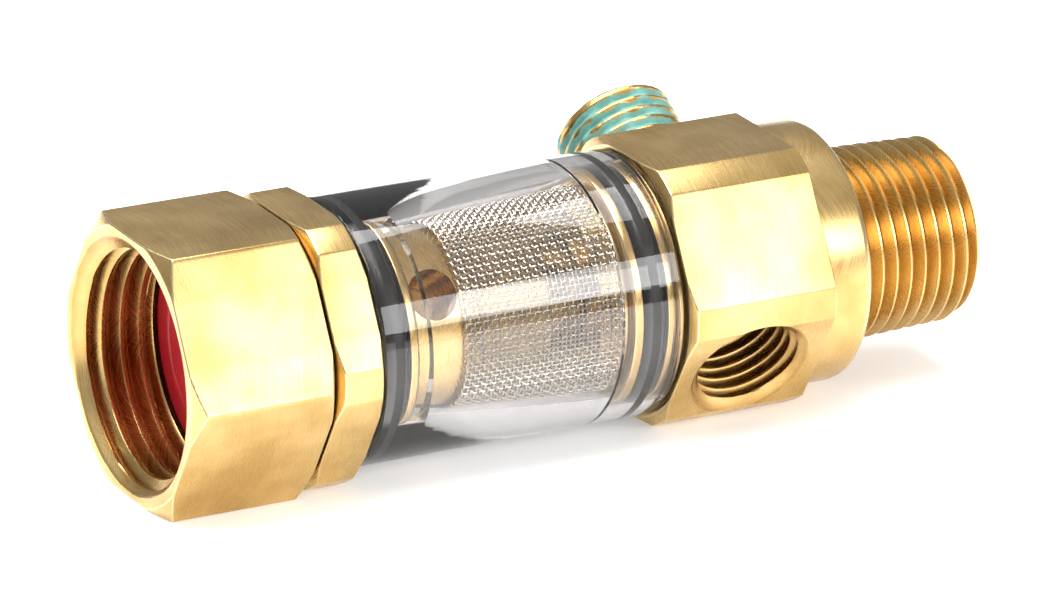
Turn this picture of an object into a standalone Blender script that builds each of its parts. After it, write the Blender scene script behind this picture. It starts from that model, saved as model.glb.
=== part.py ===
"""Inline brass water strainer with a clear sight tube, as an assembly of separate pieces.

Water enters at -X through a hose nut, leaves at +X through a tapered pipe thread.
Metres, +Z up. The flow axis runs along X. The object lies on the bottom flats of its hexagons.
The origin is on that flat, straight below the point where the side ports' axis crosses the flow axis.
"""
import math

import bmesh
import bpy
from mathutils import Matrix

MM = 0.001

# ---- clearances --------------------------------------------------------------------------------
GAP = 0.3 * MM              # between two pieces that touch or screw together
SEAL_GAP = 0.1 * MM         # between a seal ring and the bore it seals
SCREEN_GAP = 0.2 * MM       # between the screen sleeve and the seats it slides over
THREAD_GAP = 0.35 * MM      # between the nose and the outlet body, where the thread is left out
RING_ROOM = 0.8 * MM        # round the retaining ring, inside the nut

# ---- hexagon bar that the three wrench pieces are cut from --------------------------------------
HEX_FLATS = 29.4 * MM       # across flats
NUT_CORNERS_OVER = 4.45 * MM    # the nut's slightly rounded corners, beyond the flats
TURNED_CORNERS_OVER = 2.7 * MM  # the two bodies' corners, turned down to a cylinder
NUT_FACE_OVER = 0.8 * MM    # the nut's end faces, inside their chamfers
BODY_FACE_OVER = 0.4 * MM   # the two bodies' end faces, inside their chamfers
NUT_CHAMFER = 30            # degrees between the nut's chamfer and its end face
BODY_CHAMFER = 25           # degrees, the same on the two bodies

# ---- sight tube --------------------------------------------------------------------------------
TUBE_UNDER = 0.1 * MM       # how much the tube is smaller than the flats
TUBE_LENGTH = 36.2 * MM
TUBE_WALL = 3.15 * MM
TUBE_SEAT_STEP = 0.85 * MM  # how much deeper the bore is at each end, where the seal rings sit
TUBE_SEAT_LAND = 1.0 * MM   # how far that wider bore runs on past the spigot
TUBE_CHAMFER = 0.4 * MM

# ---- seal rings and the spigots that carry them ------------------------------------------------
SEAL_SECTION = 2.4 * MM
SEAL_SETBACK = 2.7 * MM     # from the tube's end to the middle of the ring
SPIGOT_LAND = 1.1 * MM      # from the ring's groove to the spigot's end face
SPIGOT_CHAMFER = 0.35 * MM

# ---- swivel nut, 3/4 inch hose thread ----------------------------------------------------------
HOSE_THREAD_MOUTH = 28.0 * MM
HOSE_THREAD_CREST = 24.6 * MM
WASHER_DEPTH = 9.3 * MM     # from the nut's face to the washer's front face
WASHER_LIP = 0.5 * MM       # how far the washer's recess reaches in front of the washer
WASHER_DIAMETER = 26.0 * MM
WASHER_SIDE_GAP = 0.6 * MM
WASHER_HOLE = 10.0 * MM
WASHER_THICKNESS = 2.7 * MM
WASHER_BEVEL = 0.8 * MM     # leaves a face that a hose's end can reach past the thread
NUT_BACK_WALL = 1.6 * MM    # the wall that the retaining ring pulls on

# ---- tail of the inlet body and its retaining ring ---------------------------------------------
TAIL_DIAMETER = 19.2 * MM
TAIL_LIP = 0.7 * MM         # between the tail's end and the ring's groove
RING_WIRE = 1.5 * MM
RING_OPENING = 14           # degrees left open between the ring's ends

# ---- inlet body --------------------------------------------------------------------------------
INLET_HEX_LENGTH = 5.5 * MM
INLET_BORE = 10.0 * MM
INLET_BORE_RUN = 0.6 * MM   # how far the bore runs on past its cross holes
DRILL_POINT = 118           # degrees, the cone at the end of the inlet bore
HUB_FILLET = 1.0 * MM
FEED_HOLE = 5.3 * MM        # cross holes that let the water out into the tube
FEED_HOLE_COUNT = 4
FEED_HOLE_START = 0.65 * MM  # from the spigot's end to the holes
FEED_HOLE_END = 0.25 * MM   # from the holes to the screen
CROSS_HOLE_TURN = 34        # degrees above the horizontal, the first hole of both rings
NOSE_WALL = 2.1 * MM        # of the threaded nose that screws into the outlet body
NOSE_ENGAGEMENT = 9.4 * MM
NOSE_BORE_REACH = 3.0 * MM  # how far the nose's bore runs on inside the thick stem
DRAIN_HOLE = 3.6 * MM       # cross holes that let the strained water into the nose
DRAIN_HOLE_COUNT = 4
DRAIN_NECK = 4.95 * MM      # from the thick stem's end to the outlet body, where those holes are

# ---- screen sleeve -----------------------------------------------------------------------------
SCREEN_WALL = 0.35 * MM
SCREEN_SEAT = 2.0 * MM      # how far the screen overlaps each seat
TUBE_CHANNEL = 0.7 * MM     # between the screen and the tube
STEM_CHANNEL = 1.65 * MM    # between the screen and the thick stem inside it

# ---- outlet body -------------------------------------------------------------------------------
BLOCK_TUBE_SIDE = 8.9 * MM  # from the ports' axis to the tube's shoulder
BLOCK_PIPE_SIDE = 8.8 * MM  # from the ports' axis to the collar
BLOCK_EDGE = 0.3 * MM
COLLAR_UNDER = 0.4 * MM     # how much the collar is smaller than the flats
COLLAR_LENGTH = 5.55 * MM
COLLAR_ROUND = 0.9 * MM
BODY_BORE = 12.7 * MM
BOSS_LENGTH = 3.35 * MM     # beyond the spigot, the outlet end's seat for the screen

# ---- 1/2 inch male pipe thread -----------------------------------------------------------------
PIPE_THREAD_LENGTH = 16.65 * MM
PIPE_THREAD_CREST = 21.64 * MM  # at the collar
PIPE_TAPER = 1 / 16         # on the diameter
PIPE_CHAMFER = 1.1 * MM
PIPE_BORE_CHAMFER = 0.5 * MM

# ---- 1/4 inch side ports and the plug in the rear one ------------------------------------------
PORT_TILT = 30              # degrees below the horizontal, on the front lower flat
PORT_CREST = 11.3 * MM
PORT_RIM = 13.9 * MM
PORT_RIM_DEPTH = 1.1 * MM
PLUG_DIAMETER = 13.7 * MM
PLUG_LENGTH = 13.0 * MM
PLUG_PROUD = 7.0 * MM       # what stands out of the flat
PLUG_CHAMFER = 0.5 * MM
PLUG_SOCKET_FLATS = 6.35 * MM
PLUG_SOCKET_DEPTH = 5.0 * MM

# ---- how finely round shapes are cut -----------------------------------------------------------
ROUND_STEPS = 48            # facets round a turned piece
DRILL_STEPS = 20            # facets round a cross hole
SEAL_STEPS = 12             # facets round a seal ring's section
RING_POINTS = 40            # points along the retaining ring
RING_WIRE_STEPS = 2         # extra facets in each quarter of its wire
FILLET_STEPS = 4            # straight pieces in a quarter-round
SHARP_ANGLE = 30            # degrees between two faces above which their edge is shaded sharp
WELD = 0.01 * MM            # points closer than this become one

# ---- sizes that follow from their neighbours ---------------------------------------------------
AXIS_HEIGHT = HEX_FLATS / 2
NUT_CORNER = (HEX_FLATS + NUT_CORNERS_OVER) / 2
NUT_FACE = (HEX_FLATS + NUT_FACE_OVER) / 2
BODY_CORNER = (HEX_FLATS + TURNED_CORNERS_OVER) / 2
BODY_FACE = (HEX_FLATS + BODY_FACE_OVER) / 2
BODY_CHAMFER_LENGTH = (BODY_CORNER - BODY_FACE) * math.tan(math.radians(BODY_CHAMFER))
TUBE_OUTER = (HEX_FLATS - TUBE_UNDER) / 2
TUBE_BORE = TUBE_OUTER - TUBE_WALL
TUBE_SEAT = TUBE_BORE + TUBE_SEAT_STEP
SPIGOT_RADIUS = TUBE_SEAT - GAP
SEAL_RADIUS = TUBE_SEAT - SEAL_GAP - SEAL_SECTION / 2
SEAL_GROOVE_RADIUS = SEAL_RADIUS - SEAL_SECTION / 2 - GAP
SEAL_GROOVE_WIDTH = SEAL_SECTION + 2 * GAP
SPIGOT_LENGTH = GAP + SEAL_SETBACK + SEAL_GROOVE_WIDTH / 2 + SPIGOT_LAND
TUBE_SEAT_DEPTH = SPIGOT_LENGTH + TUBE_SEAT_LAND
SCREEN_OUTER = TUBE_BORE - TUBE_CHANNEL
SCREEN_INNER = SCREEN_OUTER - SCREEN_WALL
HUB_RADIUS = SCREEN_INNER - SCREEN_GAP
STEM_RADIUS = SCREEN_INNER - STEM_CHANNEL
NOSE_RADIUS = BODY_BORE / 2 - THREAD_GAP
NOSE_BORE = NOSE_RADIUS - NOSE_WALL
RING_RADIUS = TAIL_DIAMETER / 2 + GAP / 2
RING_GROOVE_RADIUS = RING_RADIUS - RING_WIRE / 2 - GAP
RING_GROOVE_WIDTH = RING_WIRE + 2 * GAP
NUT_RING_BORE = RING_RADIUS + RING_WIRE / 2 + RING_ROOM
NUT_BACK_HOLE = TAIL_DIAMETER / 2 + GAP
WASHER_RECESS = WASHER_DIAMETER / 2 + WASHER_SIDE_GAP
TAIL_DEPTH = WASHER_DEPTH + WASHER_THICKNESS + GAP
NUT_LENGTH = TAIL_DEPTH + TAIL_LIP + RING_GROOVE_WIDTH + NUT_BACK_WALL
PLUG_HOLE = PLUG_DIAMETER / 2 + GAP
PLUG_OUTER_END = HEX_FLATS / 2 + PLUG_PROUD
PLUG_INNER_END = PLUG_OUTER_END - PLUG_LENGTH

# ---- places along the flow axis, from the ports' axis ------------------------------------------
OUTLET_SHOULDER = -BLOCK_TUBE_SIDE
TUBE_OUTLET_END = OUTLET_SHOULDER - GAP
TUBE_INLET_END = TUBE_OUTLET_END - TUBE_LENGTH
INLET_SHOULDER = TUBE_INLET_END - GAP
INLET_HEX_FRONT = INLET_SHOULDER - INLET_HEX_LENGTH
NUT_BACK = INLET_HEX_FRONT - GAP
NUT_FRONT = NUT_BACK - NUT_LENGTH
RING_PLACE = NUT_BACK - NUT_BACK_WALL - GAP - RING_WIRE / 2
WASHER_FRONT = NUT_FRONT + WASHER_DEPTH
TAIL_END = NUT_FRONT + TAIL_DEPTH
INLET_SEAL_PLACE = TUBE_INLET_END + SEAL_SETBACK
OUTLET_SEAL_PLACE = TUBE_OUTLET_END - SEAL_SETBACK
INLET_SPIGOT_END = INLET_SHOULDER + SPIGOT_LENGTH
OUTLET_SPIGOT_END = OUTLET_SHOULDER - SPIGOT_LENGTH
BOSS_END = OUTLET_SPIGOT_END - BOSS_LENGTH
FEED_HOLE_PLACE = INLET_SPIGOT_END + FEED_HOLE_START + FEED_HOLE / 2
INLET_BORE_END = FEED_HOLE_PLACE + FEED_HOLE / 2 + INLET_BORE_RUN
SCREEN_INLET_END = FEED_HOLE_PLACE + FEED_HOLE / 2 + FEED_HOLE_END
SCREEN_OUTLET_END = BOSS_END + SCREEN_SEAT + GAP
SCREEN_LENGTH = SCREEN_OUTLET_END - SCREEN_INLET_END
HUB_END = SCREEN_INLET_END + SCREEN_SEAT
STEM_END = BOSS_END - DRAIN_NECK
DRAIN_HOLE_PLACE = BOSS_END - DRAIN_NECK / 2
NOSE_BORE_END = STEM_END - NOSE_BORE_REACH
NOSE_END = BOSS_END + NOSE_ENGAGEMENT
BLOCK_END = BLOCK_PIPE_SIDE
COLLAR_END = BLOCK_END + COLLAR_LENGTH
PIPE_END = COLLAR_END + PIPE_THREAD_LENGTH


# ---- scene helpers -----------------------------------------------------------------------------
def clear_scene():
    """Remove every object that a new Blender file starts with."""
    for obj in list(bpy.data.objects):
        bpy.data.objects.remove(obj, do_unlink=True)


def new_collection(name):
    """A collection of this name, linked to the scene."""
    collection = bpy.data.collections.new(name)
    bpy.context.scene.collection.children.link(collection)
    return collection


def principled(name, colour, roughness, metallic, transmission=0.0):
    """A plain material with one Principled BSDF."""
    material = bpy.data.materials.new(name)
    material.use_nodes = True
    shader = material.node_tree.nodes["Principled BSDF"]
    shader.inputs["Base Color"].default_value = (*colour, 1.0)
    shader.inputs["Roughness"].default_value = roughness
    shader.inputs["Metallic"].default_value = metallic
    shader.inputs["Transmission Weight"].default_value = transmission
    material.diffuse_color = (*colour, 1.0)
    return material


def along_flow(x):
    """Matrix that lays a shape's own +Z along the flow axis, starting at x."""
    return Matrix.Translation((x, 0, AXIS_HEIGHT)) @ Matrix.Rotation(math.radians(90), 4, "Y")


def along_port(turn):
    """Matrix that points a shape's own +Z away from the flow axis, turned up from -Y by this angle."""
    tilt = Matrix.Rotation(math.radians(90 - turn), 4, "X")
    return Matrix.Translation((0, 0, AXIS_HEIGHT)) @ tilt


def arc(centre, radius, start, end):
    """Points (r, z) of an arc round centre, angles in degrees from +r towards +z."""
    points = []
    for step in range(FILLET_STEPS + 1):
        angle = math.radians(start + (end - start) * step / FILLET_STEPS)
        points.append((centre[0] + radius * math.cos(angle), centre[1] + radius * math.sin(angle)))
    return points


def turned(name, outline, placement, collection, material=None):
    """An (r, z) outline spun round its own Z with a Screw modifier.

    The outline runs from high z to low z outside and back up inside. One that starts on the axis
    ends there too and gives a shape without a bore. Any other is closed on itself.
    """
    mesh = bpy.data.meshes.new(name)
    verts = [(r, 0, z) for r, z in outline]
    edges = [(i, i + 1) for i in range(len(verts) - 1)]
    if outline[0][0] > 0:
        edges.append((len(verts) - 1, 0))
    mesh.from_pydata(verts, edges, [])
    obj = bpy.data.objects.new(name, mesh)
    collection.objects.link(obj)
    screw = obj.modifiers.new("Spin", "SCREW")
    screw.axis = "Z"
    screw.steps = ROUND_STEPS
    screw.render_steps = ROUND_STEPS
    screw.use_merge_vertices = True
    screw.merge_threshold = WELD
    obj.matrix_world = placement
    if material is not None:
        mesh.materials.append(material)
    return obj


def hexagon(name, flats, start, end, placement, collection):
    """A hexagonal prism along the placement's Z, with two flats square to the placement's X."""
    mesh = bpy.data.meshes.new(name)
    shape = bmesh.new()
    bmesh.ops.create_cone(
        shape,
        cap_ends=True,
        segments=6,
        radius1=flats / math.sqrt(3),
        radius2=flats / math.sqrt(3),
        depth=end - start,
        matrix=Matrix.Translation((0, 0, (start + end) / 2)),
    )
    shape.to_mesh(mesh)
    shape.free()
    obj = bpy.data.objects.new(name, mesh)
    collection.objects.link(obj)
    obj.matrix_world = placement
    return obj


def boolean(obj, operation, other):
    """Cut obj with the other shape, or keep what both share. The other shape leaves the model."""
    other.hide_render = True
    other.display_type = "WIRE"
    modifier = obj.modifiers.new(f"{operation.title()} {other.name}", "BOOLEAN")
    modifier.operation = operation
    modifier.solver = "EXACT"
    modifier.object = other


def shade_round(obj):
    """Apply a piece's modifiers, and shade it smooth between its sharp edges."""
    evaluated = obj.evaluated_get(bpy.context.evaluated_depsgraph_get())
    mesh = bpy.data.meshes.new_from_object(evaluated)
    mesh.shade_smooth()
    mesh.set_sharp_from_angle(angle=math.radians(SHARP_ANGLE))
    obj.modifiers.clear()
    obj.data = mesh


# ---- pieces of the swivel ----------------------------------------------------------------------
def make_swivel_nut(parts, cutters, material):
    """Hexagon nut with a hose thread, a washer recess and a back wall that the ring pulls on."""
    chamfer = (NUT_CORNER - NUT_FACE) * math.tan(math.radians(NUT_CHAMFER))
    thread_start = (HOSE_THREAD_MOUTH - HOSE_THREAD_CREST) / 2
    outline = [
        (NUT_FACE, NUT_LENGTH),
        (NUT_CORNER, NUT_LENGTH - chamfer),
        (NUT_CORNER, chamfer),
        (NUT_FACE, 0),
        (HOSE_THREAD_MOUTH / 2, 0),
        (HOSE_THREAD_CREST / 2, thread_start),
        (HOSE_THREAD_CREST / 2, WASHER_DEPTH - WASHER_LIP),
        (WASHER_RECESS, WASHER_DEPTH - WASHER_LIP),
        (WASHER_RECESS, TAIL_DEPTH),
        (NUT_RING_BORE, TAIL_DEPTH),
        (NUT_RING_BORE, NUT_LENGTH - NUT_BACK_WALL),
        (NUT_BACK_HOLE, NUT_LENGTH - NUT_BACK_WALL),
        (NUT_BACK_HOLE, NUT_LENGTH),
    ]
    nut = turned("swivel_nut", outline, along_flow(NUT_FRONT), parts, material)
    bar = hexagon("nut_bar", HEX_FLATS, -GAP, NUT_LENGTH + GAP, along_flow(NUT_FRONT), cutters)
    boolean(nut, "INTERSECT", bar)


def make_hose_washer(parts, material):
    """Flat rubber washer between the hose's end and the tail."""
    outline = [
        (WASHER_DIAMETER / 2, WASHER_THICKNESS),
        (WASHER_DIAMETER / 2, WASHER_BEVEL),
        (WASHER_DIAMETER / 2 - WASHER_BEVEL, 0),
        (WASHER_HOLE / 2, 0),
        (WASHER_HOLE / 2, WASHER_THICKNESS),
    ]
    turned("hose_washer", outline, along_flow(WASHER_FRONT), parts, material)


def make_retaining_ring(parts, material):
    """Open wire ring, half in the tail's groove and half behind the nut's back wall."""
    sweep = math.radians(360 - RING_OPENING)
    curve = bpy.data.curves.new("nut_retaining_ring", "CURVE")
    curve.dimensions = "3D"
    curve.bevel_depth = RING_WIRE / 2
    curve.bevel_resolution = RING_WIRE_STEPS
    curve.use_fill_caps = True
    spline = curve.splines.new("POLY")
    spline.points.add(RING_POINTS - 1)
    for index, point in enumerate(spline.points):
        angle = math.radians(RING_OPENING / 2) + sweep * index / (RING_POINTS - 1)
        point.co = (RING_RADIUS * math.cos(angle), RING_RADIUS * math.sin(angle), 0, 1)
    ring = bpy.data.objects.new("nut_retaining_ring", curve)
    parts.objects.link(ring)
    ring.matrix_world = along_flow(RING_PLACE)
    curve.materials.append(material)


# ---- inlet body, tube, seals and screen --------------------------------------------------------
def seal_groove(centre):
    """Outline points of a seal ring's groove in a spigot, from its high side to its low side."""
    half = SEAL_GROOVE_WIDTH / 2
    return [
        (SPIGOT_RADIUS, centre + half),
        (SEAL_GROOVE_RADIUS, centre + half),
        (SEAL_GROOVE_RADIUS, centre - half),
        (SPIGOT_RADIUS, centre - half),
    ]


def drill_ring(body, cutters, name, count, radius, surface, place):
    """Cross holes, evenly spaced round the flow axis, from the bore out through the surface."""
    mesh = bpy.data.meshes.new(name)
    shape = bmesh.new()
    start = radius + GAP
    end = surface + GAP
    for index in range(count):
        turn = Matrix.Rotation(math.radians(90 - CROSS_HOLE_TURN - index * 360 / count), 4, "X")
        bmesh.ops.create_cone(
            shape,
            cap_ends=True,
            segments=DRILL_STEPS,
            radius1=radius,
            radius2=radius,
            depth=end - start,
            matrix=turn @ Matrix.Translation((0, 0, (start + end) / 2)),
        )
    shape.to_mesh(mesh)
    shape.free()
    drill = bpy.data.objects.new(name, mesh)
    cutters.objects.link(drill)
    drill.location = (place, 0, AXIS_HEIGHT)
    boolean(body, "DIFFERENCE", drill)


def make_inlet_body(parts, cutters, material):
    """Tail, hexagon, spigot, hub, stem and threaded nose, turned from one bar."""
    groove_front = RING_PLACE - RING_GROOVE_WIDTH / 2
    groove_back = RING_PLACE + RING_GROOVE_WIDTH / 2
    fillet_centre = (HUB_RADIUS + HUB_FILLET, INLET_SPIGOT_END + HUB_FILLET)
    drill_tip = INLET_BORE / 2 / math.tan(math.radians(DRILL_POINT / 2))
    outline = [
        (0, NOSE_BORE_END),
        (NOSE_BORE, NOSE_BORE_END),
        (NOSE_BORE, NOSE_END),
        (NOSE_RADIUS - GAP, NOSE_END),
        (NOSE_RADIUS, NOSE_END - GAP),
        (NOSE_RADIUS, STEM_END),
        (STEM_RADIUS, STEM_END),
        (STEM_RADIUS, HUB_END),
        (HUB_RADIUS, HUB_END),
        *arc(fillet_centre, HUB_FILLET, 180, 270),
        (SPIGOT_RADIUS - SPIGOT_CHAMFER, INLET_SPIGOT_END),
        (SPIGOT_RADIUS, INLET_SPIGOT_END - SPIGOT_CHAMFER),
        *seal_groove(INLET_SEAL_PLACE),
        (SPIGOT_RADIUS, INLET_SHOULDER),
        (BODY_FACE, INLET_SHOULDER),
        (BODY_CORNER, INLET_SHOULDER - BODY_CHAMFER_LENGTH),
        (BODY_CORNER, INLET_HEX_FRONT + BODY_CHAMFER_LENGTH),
        (BODY_FACE, INLET_HEX_FRONT),
        (TAIL_DIAMETER / 2, INLET_HEX_FRONT),
        (TAIL_DIAMETER / 2, groove_back),
        (RING_GROOVE_RADIUS, groove_back),
        (RING_GROOVE_RADIUS, groove_front),
        (TAIL_DIAMETER / 2, groove_front),
        (TAIL_DIAMETER / 2, TAIL_END),
        (INLET_BORE / 2, TAIL_END),
        (INLET_BORE / 2, INLET_BORE_END),
        (0, INLET_BORE_END + drill_tip),
    ]
    body = turned("inlet_body", outline, along_flow(0), parts, material)
    bar = hexagon("inlet_bar", HEX_FLATS, TAIL_END - GAP, NOSE_END + GAP, along_flow(0), cutters)
    boolean(body, "INTERSECT", bar)
    drill_ring(body, cutters, "feed_drills", FEED_HOLE_COUNT, FEED_HOLE / 2, HUB_RADIUS, FEED_HOLE_PLACE)
    drill_ring(body, cutters, "drain_drills", DRAIN_HOLE_COUNT, DRAIN_HOLE / 2, NOSE_RADIUS, DRAIN_HOLE_PLACE)


def make_seal_ring(name, place, parts, material):
    """Rubber ring between a spigot and the tube."""
    bpy.ops.mesh.primitive_torus_add(
        major_radius=SEAL_RADIUS,
        minor_radius=SEAL_SECTION / 2,
        major_segments=ROUND_STEPS,
        minor_segments=SEAL_STEPS,
    )
    ring = bpy.context.object
    ring.name = name
    for owner in list(ring.users_collection):
        owner.objects.unlink(ring)
    parts.objects.link(ring)
    ring.matrix_world = along_flow(place)
    ring.data.materials.append(material)


def make_sight_tube(parts, material):
    """Clear tube, bored wider at both ends for the seal rings."""
    outline = [
        (TUBE_OUTER - TUBE_CHAMFER, TUBE_LENGTH),
        (TUBE_OUTER, TUBE_LENGTH - TUBE_CHAMFER),
        (TUBE_OUTER, TUBE_CHAMFER),
        (TUBE_OUTER - TUBE_CHAMFER, 0),
        (TUBE_SEAT, 0),
        (TUBE_SEAT, TUBE_SEAT_DEPTH),
        (TUBE_BORE, TUBE_SEAT_DEPTH),
        (TUBE_BORE, TUBE_LENGTH - TUBE_SEAT_DEPTH),
        (TUBE_SEAT, TUBE_LENGTH - TUBE_SEAT_DEPTH),
        (TUBE_SEAT, TUBE_LENGTH),
    ]
    turned("sight_tube", outline, along_flow(TUBE_INLET_END), parts, material)


def make_screen(parts, material):
    """Rolled screen sleeve, a plain thin tube here."""
    outline = [
        (SCREEN_OUTER, SCREEN_LENGTH),
        (SCREEN_OUTER, 0),
        (SCREEN_INNER, 0),
        (SCREEN_INNER, SCREEN_LENGTH),
    ]
    turned("screen_sleeve", outline, along_flow(SCREEN_INLET_END), parts, material)


# ---- outlet body and plug ----------------------------------------------------------------------
def make_outlet_body(parts, cutters, material):
    """Boss, spigot, hexagon block with two side ports, collar and tapered pipe thread."""
    collar = (HEX_FLATS - COLLAR_UNDER) / 2
    crest = PIPE_THREAD_CREST / 2
    end_crest = crest - PIPE_THREAD_LENGTH * PIPE_TAPER / 2
    bore = BODY_BORE / 2
    round_centre = (collar - COLLAR_ROUND, COLLAR_END - COLLAR_ROUND)
    outline = [
        (end_crest - PIPE_CHAMFER, PIPE_END),
        (end_crest, PIPE_END - PIPE_CHAMFER),
        (crest, COLLAR_END),
        *arc(round_centre, COLLAR_ROUND, 90, 0),
        (collar, BLOCK_END),
        (BODY_CORNER - BLOCK_EDGE, BLOCK_END),
        (BODY_CORNER, BLOCK_END - BLOCK_EDGE),
        (BODY_CORNER, OUTLET_SHOULDER + BODY_CHAMFER_LENGTH),
        (BODY_FACE, OUTLET_SHOULDER),
        (SPIGOT_RADIUS, OUTLET_SHOULDER),
        *seal_groove(OUTLET_SEAL_PLACE),
        (SPIGOT_RADIUS, OUTLET_SPIGOT_END + SPIGOT_CHAMFER),
        (SPIGOT_RADIUS - SPIGOT_CHAMFER, OUTLET_SPIGOT_END),
        (HUB_RADIUS, OUTLET_SPIGOT_END),
        (HUB_RADIUS, BOSS_END + SPIGOT_CHAMFER),
        (HUB_RADIUS - SPIGOT_CHAMFER, BOSS_END),
        (bore, BOSS_END),
        (bore, PIPE_END - PIPE_BORE_CHAMFER),
        (bore + PIPE_BORE_CHAMFER, PIPE_END),
    ]
    body = turned("outlet_body", outline, along_flow(0), parts, material)
    bar = hexagon("outlet_bar", HEX_FLATS, BOSS_END - GAP, PIPE_END + GAP, along_flow(0), cutters)
    boolean(body, "INTERSECT", bar)
    flat = HEX_FLATS / 2
    front_port = [
        (0, flat + GAP),
        (PORT_RIM / 2, flat + GAP),
        (PORT_RIM / 2, flat),
        (PORT_CREST / 2, flat - PORT_RIM_DEPTH),
        (PORT_CREST / 2, 0),
        (0, 0),
    ]
    front = turned("front_port_drill", front_port, along_port(-PORT_TILT), cutters)
    boolean(body, "DIFFERENCE", front)
    rear_port = [
        (0, flat + GAP),
        (PLUG_HOLE, flat + GAP),
        (PLUG_HOLE, PLUG_INNER_END - GAP),
        (PORT_CREST / 2, PLUG_INNER_END - GAP),
        (PORT_CREST / 2, 0),
        (0, 0),
    ]
    rear = turned("rear_port_drill", rear_port, along_port(180 - PORT_TILT), cutters)
    boolean(body, "DIFFERENCE", rear)


def make_side_plug(parts, cutters, material):
    """Threaded plug with a hexagon socket in its outer end, in the rear port."""
    radius = PLUG_DIAMETER / 2
    outline = [
        (0, PLUG_OUTER_END),
        (radius - PLUG_CHAMFER, PLUG_OUTER_END),
        (radius, PLUG_OUTER_END - PLUG_CHAMFER),
        (radius, PLUG_INNER_END + PLUG_CHAMFER),
        (radius - PLUG_CHAMFER, PLUG_INNER_END),
        (0, PLUG_INNER_END),
    ]
    place = along_port(180 - PORT_TILT)
    plug = turned("side_plug", outline, place, parts, material)
    floor = PLUG_OUTER_END - PLUG_SOCKET_DEPTH
    key = hexagon("plug_key", PLUG_SOCKET_FLATS, floor, PLUG_OUTER_END + GAP, place, cutters)
    boolean(plug, "DIFFERENCE", key)


def main():
    """Build the whole assembly."""
    clear_scene()
    parts = new_collection("inline_water_strainer")
    cutters = new_collection("cutters")
    brass = principled("brass", (0.72, 0.52, 0.24), 0.28, 1.0)
    plug_coat = principled("sealant_coat", (0.32, 0.66, 0.60), 0.6, 0.0)
    steel = principled("stainless", (0.62, 0.60, 0.57), 0.35, 1.0)
    spring = principled("spring_wire", (0.55, 0.55, 0.55), 0.3, 1.0)
    black_rubber = principled("black_rubber", (0.02, 0.02, 0.02), 0.5, 0.0)
    red_rubber = principled("red_rubber", (0.45, 0.02, 0.03), 0.45, 0.0)
    clear = principled("clear_acrylic", (0.95, 0.94, 0.94), 0.03, 0.0, 0.9)
    make_swivel_nut(parts, cutters, brass)
    make_hose_washer(parts, red_rubber)
    make_retaining_ring(parts, spring)
    make_inlet_body(parts, cutters, brass)
    make_seal_ring("inlet_seal_ring", INLET_SEAL_PLACE, parts, black_rubber)
    make_sight_tube(parts, clear)
    make_screen(parts, steel)
    make_seal_ring("outlet_seal_ring", OUTLET_SEAL_PLACE, parts, black_rubber)
    make_outlet_body(parts, cutters, brass)
    make_side_plug(parts, cutters, plug_coat)
    bpy.context.view_layer.update()
    for obj in parts.objects:
        if obj.type == "MESH":
            shade_round(obj)


main()
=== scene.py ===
"""Inline water strainer: detailed surfaces and studio scene, built round its packed frame.

Each piece is a turned outline, some with a hexagonal outside, threads cut by a geometry node tree
and cross holes cut by a Boolean. Metres, +Z up, the flow axis along X.
"""
import math

import bmesh
import bpy
import numpy as np
from mathutils import Matrix, Vector, noise


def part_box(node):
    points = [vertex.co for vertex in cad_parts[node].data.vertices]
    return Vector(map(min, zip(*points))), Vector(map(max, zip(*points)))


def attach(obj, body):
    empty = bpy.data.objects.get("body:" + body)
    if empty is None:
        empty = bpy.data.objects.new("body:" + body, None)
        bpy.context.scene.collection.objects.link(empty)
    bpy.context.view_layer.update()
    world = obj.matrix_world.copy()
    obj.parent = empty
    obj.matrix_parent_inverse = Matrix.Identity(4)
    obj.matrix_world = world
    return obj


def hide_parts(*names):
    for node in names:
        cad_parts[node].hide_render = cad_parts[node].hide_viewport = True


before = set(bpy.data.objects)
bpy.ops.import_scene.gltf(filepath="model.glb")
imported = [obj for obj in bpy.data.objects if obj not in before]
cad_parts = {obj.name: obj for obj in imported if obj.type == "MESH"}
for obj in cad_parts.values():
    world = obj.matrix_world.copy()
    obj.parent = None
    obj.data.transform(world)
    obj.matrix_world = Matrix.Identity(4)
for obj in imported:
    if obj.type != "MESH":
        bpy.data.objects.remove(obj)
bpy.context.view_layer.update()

bl_info = {
    "name": "Inline water strainer",
    "version": (1, 0, 0),
    "blender": (4, 5, 0),
    "location": "View3D > Sidebar > Strainer",
    "description": "Builds a brass inline strainer with a clear sight tube, piece by piece",
    "category": "Object",
}

MM = 0.001


# ---- places read from the frame ----------------------------------------------------------------
def span(node):
    """Where a piece of the frame starts and ends along the flow axis."""
    low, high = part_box(node)
    return low.x, high.x


def outer_radius(node):
    """Half a round piece's width across the flow axis."""
    low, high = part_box(node)
    return (high.y - low.y) / 2


AXIS_HEIGHT = (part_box("sight_tube")[0].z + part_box("sight_tube")[1].z) / 2
NUT_FRONT, NUT_BACK = span("swivel_nut")
WASHER_FRONT, WASHER_BACK = span("hose_washer")
TAIL_END, NOSE_END = span("inlet_body")
TUBE_START, TUBE_END = span("sight_tube")
SCREEN_START, SCREEN_END = span("screen_sleeve")
BOSS_END, PIPE_END = span("outlet_body")
INLET_SEAL = sum(span("inlet_seal_ring")) / 2
OUTLET_SEAL = sum(span("outlet_seal_ring")) / 2
RING_PLACE = sum(span("nut_retaining_ring")) / 2


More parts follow.
